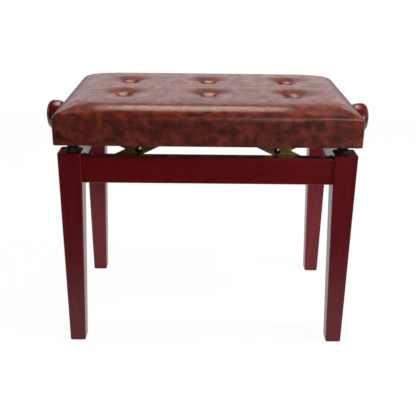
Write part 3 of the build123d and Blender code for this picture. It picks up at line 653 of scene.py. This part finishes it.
def set_out_tree():
    """Geometry Nodes tree that puts a copy of a master on each point, turned as the point says."""
    tree = bpy.data.node_groups.new("set_out", "GeometryNodeTree")
    for name, kind in (("Points", "NodeSocketGeometry"), ("Master", "NodeSocketObject"),
                       ("Size", "NodeSocketFloat"), ("Finish", "NodeSocketMaterial")):
        tree.interface.new_socket(name, in_out="INPUT", socket_type=kind)
    tree.interface.new_socket("Copies", in_out="OUTPUT", socket_type="NodeSocketGeometry")
    given = add(tree, "NodeGroupInput").outputs
    turn = add(tree, "GeometryNodeInputNamedAttribute", {"Name": "turn"},
               data_type="FLOAT_VECTOR").outputs[0]
    rotation = add(tree, "FunctionNodeEulerToRotation", {0: turn}).outputs[0]
    master = add(tree, "GeometryNodeObjectInfo", {"Object": given["Master"]}).outputs["Geometry"]
    copies = add(tree, "GeometryNodeInstanceOnPoints", {"Points": given["Points"], "Instance": master,
                                                        "Rotation": rotation, "Scale": given["Size"]})
    solid = add(tree, "GeometryNodeRealizeInstances", {"Geometry": copies.outputs[0]}).outputs[0]
    done = add(tree, "GeometryNodeSetMaterial", {"Geometry": solid, "Material": given["Finish"]}).outputs[0]
    add(tree, "NodeGroupOutput", {"Copies": done})
    return tree


set_out = set_out_tree()


def set_out_copies(name, master_mesh, places, finish, body, replaced):
    """One piece made of copies of a master mesh, at (point, turn) places."""
    master = new_piece(name + "_master", master_mesh, finish)
    mesh = bpy.data.meshes.new(name + "_points")
    mesh.from_pydata([p for p, _ in places], [], [])
    turn = mesh.attributes.new("turn", "FLOAT_VECTOR", "POINT")
    for i, (_, angles) in enumerate(places):
        turn.data[i].vector = angles
    points = new_piece(name, mesh)
    copies = points.modifiers.new("set_out", "NODES")
    copies.node_group = set_out
    values = {"Master": master, "Size": 1.0, "Finish": finish}
    for item in set_out.interface.items_tree:
        if item.in_out == "INPUT" and item.name in values:
            copies[item.identifier] = values[item.name]
    apply_modifiers(points)
    bpy.data.objects.remove(master)
    smooth_faces(points.data, 38)
    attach(points, body)
    if replaced:
        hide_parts(*replaced)
    return points


def button_master():
    """Covered button: a domed cap whose vinyl is gathered in under its rim."""
    top, r = button_height, button_radius
    rim = (2.6 * mm, 0.985 * r)
    profile = [(0.0, 0.0), (0.0, 0.8 * r), (0.5 * mm, 0.93 * r), (1.5 * mm, r), rim]
    profile += arc((top, 0.0), rim, (0, 1), 10)[-2::-1] + [(top, 0.0)]
    return turned("button", profile, 40)


def rivet_master(head, shank, grip, tail):
    """Rivet along Z: a round domed head below z = 0, its shank, and a second head where it has one."""
    dome = [(-2.2 * mm, 0.0)] + arc((-2.2 * mm, 0.0), (-0.4 * mm, head), (0, 1), 8) + [(0.0, head)]
    profile = dome + [(0.0, shank), (grip, shank)]
    profile += [(grip - along, radius) for along, radius in reversed(dome)] if tail else [(grip, 0.0)]
    return turned("rivet", profile, 28)


def screw_master(length):
    """Pan-head wood screw along Z with a cross recess: its head lies below z = 0."""
    profile = [(-2.5 * mm, 0.0), (-2.45 * mm, 2.2 * mm), (-2.1 * mm, 3.6 * mm), (-1.3 * mm, 4.4 * mm),
               (0.0, 4.5 * mm), (0.0, 2 * mm), (length - 3 * mm, 1.9 * mm), (length, 0.0)]
    screw = new_piece("screw_blank", turned("screw", profile, 28))
    slots = ((1.1 * mm, 4.8 * mm), (4.8 * mm, 1.1 * mm))
    cross = boxes("cross", [((0, 0, -2.5 * mm), (wide, long, 2.6 * mm)) for wide, long in slots])
    driver = new_piece("cross_driver", cross)
    cut = screw.modifiers.new("recess", "BOOLEAN")
    cut.operation, cut.solver, cut.object, cut.use_self = "DIFFERENCE", "EXACT", driver, True
    mesh = plain_mesh(screw)
    bpy.data.objects.remove(driver)
    bpy.data.objects.remove(screw)
    return mesh


def staple_master():
    """Upholstery staple: a flat wire back whose two legs go up into the wood."""
    wire = 1 * mm
    back = ((0, 0, -0.3 * mm), (12 * mm, wire, 0.6 * mm))
    legs = [((x, 0, 1.2 * mm), (0.8 * mm, wire, 2.6 * mm)) for x in (-5.6 * mm, 5.6 * mm)]
    return boxes("staple", [back] + legs)


def make_small_hardware():
    """Buttons of the tufts, rivets and pins of the arms, screws of the rails, staples of the cover."""
    facing = {1: (-math.pi / 2, 0, 0), -1: (math.pi / 2, 0, 0)}  # local Z to +Y or to -Y
    corners = [(s, r) for s in (-1, 1) for r in (-1, 1)]  # side and row
    button_sink = 1.8 * mm
    floors = [(x, y, float(cover_z(np.array(x), np.array(y))) - button_sink) for x, y in tufts]
    set_out_copies("covered_buttons", button_master(), [(p, (0, 0, 0.7 * i)) for i, p in enumerate(floors)],
                   vinyl, "seat", ["tuft_buttons"])

    head, shank, rivet_grip, pin_grip = 6.5 * mm, 3.95 * mm, 6.6 * mm, 5.6 * mm
    rivet_y, lower_pin_y, upper_pin_y = 132.1 * mm, 135.4 * mm, 135.7 * mm
    for side, sign in (("left", -1), ("right", 1)):
        places = [((sign * middle_x, row * rivet_y, middle_z), facing[row]) for row in (-1, 1)]
        set_out_copies(f"arm_rivets_domed_{side}", rivet_master(head, shank, rivet_grip, True), places,
                       polished_steel, f"{side}_arms", [f"arm_rivets_{side}"])
    low = [((s * pivot_x, r * lower_pin_y, lower_pivot_z), facing[r]) for s, r in corners]
    set_out_copies("lower_pivots_domed", rivet_master(head, shank, pin_grip, False), low,
                   polished_steel, "frame", ["lower_pivot_pins"])
    high = [((s * pivot_x, r * upper_pin_y, spindle_z), facing[-r]) for s, r in corners]
    set_out_copies("upper_pivots_domed", rivet_master(head, shank, pin_grip, False), high,
                   polished_steel, "seat", ["upper_pivot_pins"])

    screw_length, screw_xs = 12 * mm, (40 * mm, 199.929 * mm)
    lower_screw_y, lower_screw_z = 139 * mm, 361 * mm
    upper_screw_y, upper_screw_z = 119.1 * mm, 436 * mm
    below = [((s * x, r * lower_screw_y, lower_screw_z), facing[r]) for s, r in corners for x in screw_xs]
    set_out_copies("lower_rail_cross_screws", screw_master(screw_length), below, yellow_zinc, "frame",
                   ["lower_rail_screws"])
    under = [((s * x, r * upper_screw_y, upper_screw_z), (0, 0, 0.4 * s + 0.9 * r))
             for s, r in corners for x in screw_xs]
    set_out_copies("upper_rail_cross_screws", screw_master(screw_length), under, yellow_zinc, "seat",
                   ["upper_rail_screws"])

    inset, from_corner, gap = 13 * mm, 24 * mm, 27 * mm
    line_x, line_y = seat_half_x - inset, seat_half_y - inset
    along_x = np.linspace(-line_x + from_corner, line_x - from_corner, int(2 * line_x / gap))
    along_y = np.linspace(-line_y + from_corner, line_y - from_corner, int(2 * line_y / gap))
    rows = [((float(x), s * line_y, seat_bottom), (0, 0, 0.12 * math.sin(40 * i))) for s in (-1, 1)
            for i, x in enumerate(along_x)]
    rows += [((s * line_x, float(y), seat_bottom), (0, 0, math.pi / 2 + 0.12 * math.sin(40 * i)))
             for s in (-1, 1) for i, y in enumerate(along_y)]
    set_out_copies("cover_staples", staple_master(), rows, bright_zinc, "seat", [])


# Stage


def seen_or_mirrored(tree):
    """Two values: 1 for what the camera sees straight, and 1 for what gloss or glass shows."""
    path = add(tree, "ShaderNodeLightPath").outputs
    mirrored = add(tree, "ShaderNodeMath", {0: path["Is Glossy Ray"], 1: path["Is Transmission Ray"]},
                   operation="MAXIMUM").outputs[0]
    return path["Is Camera Ray"], mirrored


def levels_by(tree, value, stops):
    """A level that follows a value through (value, level) stops."""
    first, last = stops[0][0], stops[-1][0]
    place = add(tree, "ShaderNodeMapRange", {"Value": value, "From Min": first,
                                             "From Max": last}).outputs[0]
    shade = add(tree, "ShaderNodeValToRGB", {0: place})
    ramp = shade.color_ramp
    for _ in stops[2:]:
        ramp.elements.new(0.5)
    for stop, (at, level) in zip(ramp.elements, stops):
        stop.position = (at - first) / (last - first)
        stop.color = (level, level, level, 1)
    return shade.outputs[0]


def make_floor():
    """White paper, which gloss mirrors a little dimmer than the eye sees it, and less and less towards the
    camera.
    """
    material, tree, place = start_material("white_paper")
    seen, mirrored = seen_or_mirrored(tree)
    ahead = add(tree, "ShaderNodeSeparateXYZ", {0: place}).outputs["Y"]
    level = levels_by(tree, ahead, ((-0.62, 0.0), (-0.45, 0.35), (-0.3, 0.8), (-0.22, 0.85), (-0.1, 0.9),
                                    (0.1, 0.9)))
    level = add(tree, "ShaderNodeMath", {0: level, 1: seen}, operation="MAXIMUM").outputs[0]
    plain = add(tree, "ShaderNodeMath", {0: seen, 1: 0.965}, operation="MULTIPLY").outputs[0]
    share = add(tree, "ShaderNodeMath", {0: plain, 1: mirrored}, operation="MAXIMUM").outputs[0]
    paper = add(tree, "ShaderNodeBsdfDiffuse", {"Color": to_linear("#F6F6F6")}).outputs[0]
    glow = add(tree, "ShaderNodeEmission", {"Color": to_linear("#FFFFFF"), "Strength": level}).outputs[0]
    both = add(tree, "ShaderNodeMixShader", {0: share, 1: paper, 2: glow}).outputs[0]
    add(tree, "ShaderNodeOutputMaterial", {"Surface": both})
    low, (left, right), (near, far) = -0.3 * mm, (-2.2, 2.2), (-1.3, 1.6)
    sheet = bpy.data.meshes.new("floor")
    sheet.from_pydata([(left, near, low), (right, near, low), (right, far, low), (left, far, low)], [],
                      [(0, 1, 2, 3)])
    new_piece("floor", sheet, material)


def make_world():
    """White to the eye. Gloss mirrors a white sweep up to about 25 degrees with a dark room over and under
    it, and in front of the bench only a bright strip at the right."""
    world = bpy.data.worlds.new("studio")
    scene.world = world
    world.use_nodes = True
    tree = world.node_tree
    tree.nodes.clear()
    seen, mirrored = seen_or_mirrored(tree)
    way = add(tree, "ShaderNodeTexCoord").outputs["Generated"]
    way = add(tree, "ShaderNodeSeparateXYZ", {0: way}).outputs
    room = levels_by(tree, way["Z"], ((-1.0, 0.03), (-0.04, 0.03), (0.0, 0.75), (0.17, 0.88), (0.25, 1.03),
                                    (0.34, 0.95), (0.4, 0.58), (0.47, 0.06), (1.0, 0.06)))
    front = levels_by(tree, way["X"], ((-0.3, 0.06), (0.1, 0.06), (0.17, 5.2), (0.34, 5.2), (0.6, 0.6)))
    behind = add(tree, "ShaderNodeMapRange", {"Value": way["Y"], "From Min": -0.3,
                                              "From Max": 0.1}).outputs[0]
    side = add(tree, "ShaderNodeMix", {0: behind, 2: front, 3: 1.0}).outputs[0]
    room = add(tree, "ShaderNodeMath", {0: room, 1: side}, operation="MULTIPLY").outputs[0]
    level = add(tree, "ShaderNodeMix", {0: mirrored, 2: 0.05, 3: room}).outputs[0]
    level = add(tree, "ShaderNodeMath", {0: level, 1: seen}, operation="MAXIMUM").outputs[0]
    sky = add(tree, "ShaderNodeBackground", {"Color": to_linear("#FFFFFF"), "Strength": level}).outputs[0]
    add(tree, "ShaderNodeOutputWorld", {"Surface": sky})


def make_lamps():
    """A warm soft box over the back of the seat, the only lamp that gloss mirrors. Also a lamp over the
    seat, one high on each side, a fill at the right and a low one for the rear legs."""
    white, warm = (1, 1, 1), (1, 0.88, 0.78)
    for name, spot, aim, size, watts, colour in (
            ("soft_box", (-0.05, 0.68, 2.19), (-0.05, -0.15, 0.47), (0.86, 1.45), 20.4, warm),
            ("over", (0.0, 0.1, 2.3), (0, 0, 0.4), (1.0, 0.8), 17, white),
            ("right_high", (1.5, -0.5, 2.0), (0.1, -0.1, 0.4), (0.7, 0.7), 46, white),
            ("left_high", (-1.5, -0.5, 2.0), (-0.1, -0.1, 0.4), (0.7, 0.7), 14.4, white),
            ("fill", (1.5, -1.3, 1.0), (0.1, -0.1, 0.35), (0.7, 0.7), 14.3, white),
            ("low", (0.0, -0.1, 0.03), (0, 0.15, 0.09), (0.46, 0.05), 0.8, white)):
        lamp = bpy.data.lights.new(name, "AREA")
        lamp.shape, lamp.energy, lamp.size, lamp.size_y = "RECTANGLE", watts, size[0], size[1]
        lamp.color = colour
        holder = bpy.data.objects.new(name, lamp)
        scene.collection.objects.link(holder)
        holder.location = spot
        holder.visible_glossy = name == "soft_box"
        holder.rotation_euler = (Vector(aim) - Vector(spot)).to_track_quat("-Z", "Y").to_euler()


def make_camera():
    """The camera where the photograph was taken, by a fit of the bench's corners to it."""
    focal_px, axis_px, frame_px = 658.555, (208.5, 190.5), 416
    tilt, swing, lean = math.radians(21.316), math.radians(0.494), math.radians(0.734)
    ahead = Vector((math.sin(swing) * math.cos(tilt), math.cos(swing) * math.cos(tilt), -math.sin(tilt)))
    right = Vector((math.cos(swing), -math.sin(swing), 0))
    up = right.cross(ahead)
    across = right * math.cos(lean) + up * math.sin(lean)
    above = up * math.cos(lean) - right * math.sin(lean)
    lens = bpy.data.cameras.new("camera")
    lens.sensor_fit, lens.sensor_width, lens.lens = "HORIZONTAL", 36, focal_px / frame_px * 36
    lens.shift_x = (frame_px / 2 - axis_px[0]) / frame_px
    lens.shift_y = (axis_px[1] - frame_px / 2) / frame_px
    lens.clip_start, lens.clip_end = 0.05, 50
    camera = bpy.data.objects.new("camera", lens)
    scene.collection.objects.link(camera)
    turn = Matrix((across, above, -ahead)).transposed().to_4x4()
    camera.matrix_world = Matrix.Translation((-8.008 * mm, -1283.753 * mm, 760.419 * mm)) @ turn
    scene.camera = camera
    scene.view_settings.view_transform = "Standard"


finish_nodes()
make_cushion()
make_knobs()
make_spindle()
make_small_hardware()
make_floor()
make_world()
make_lamps()
make_camera()
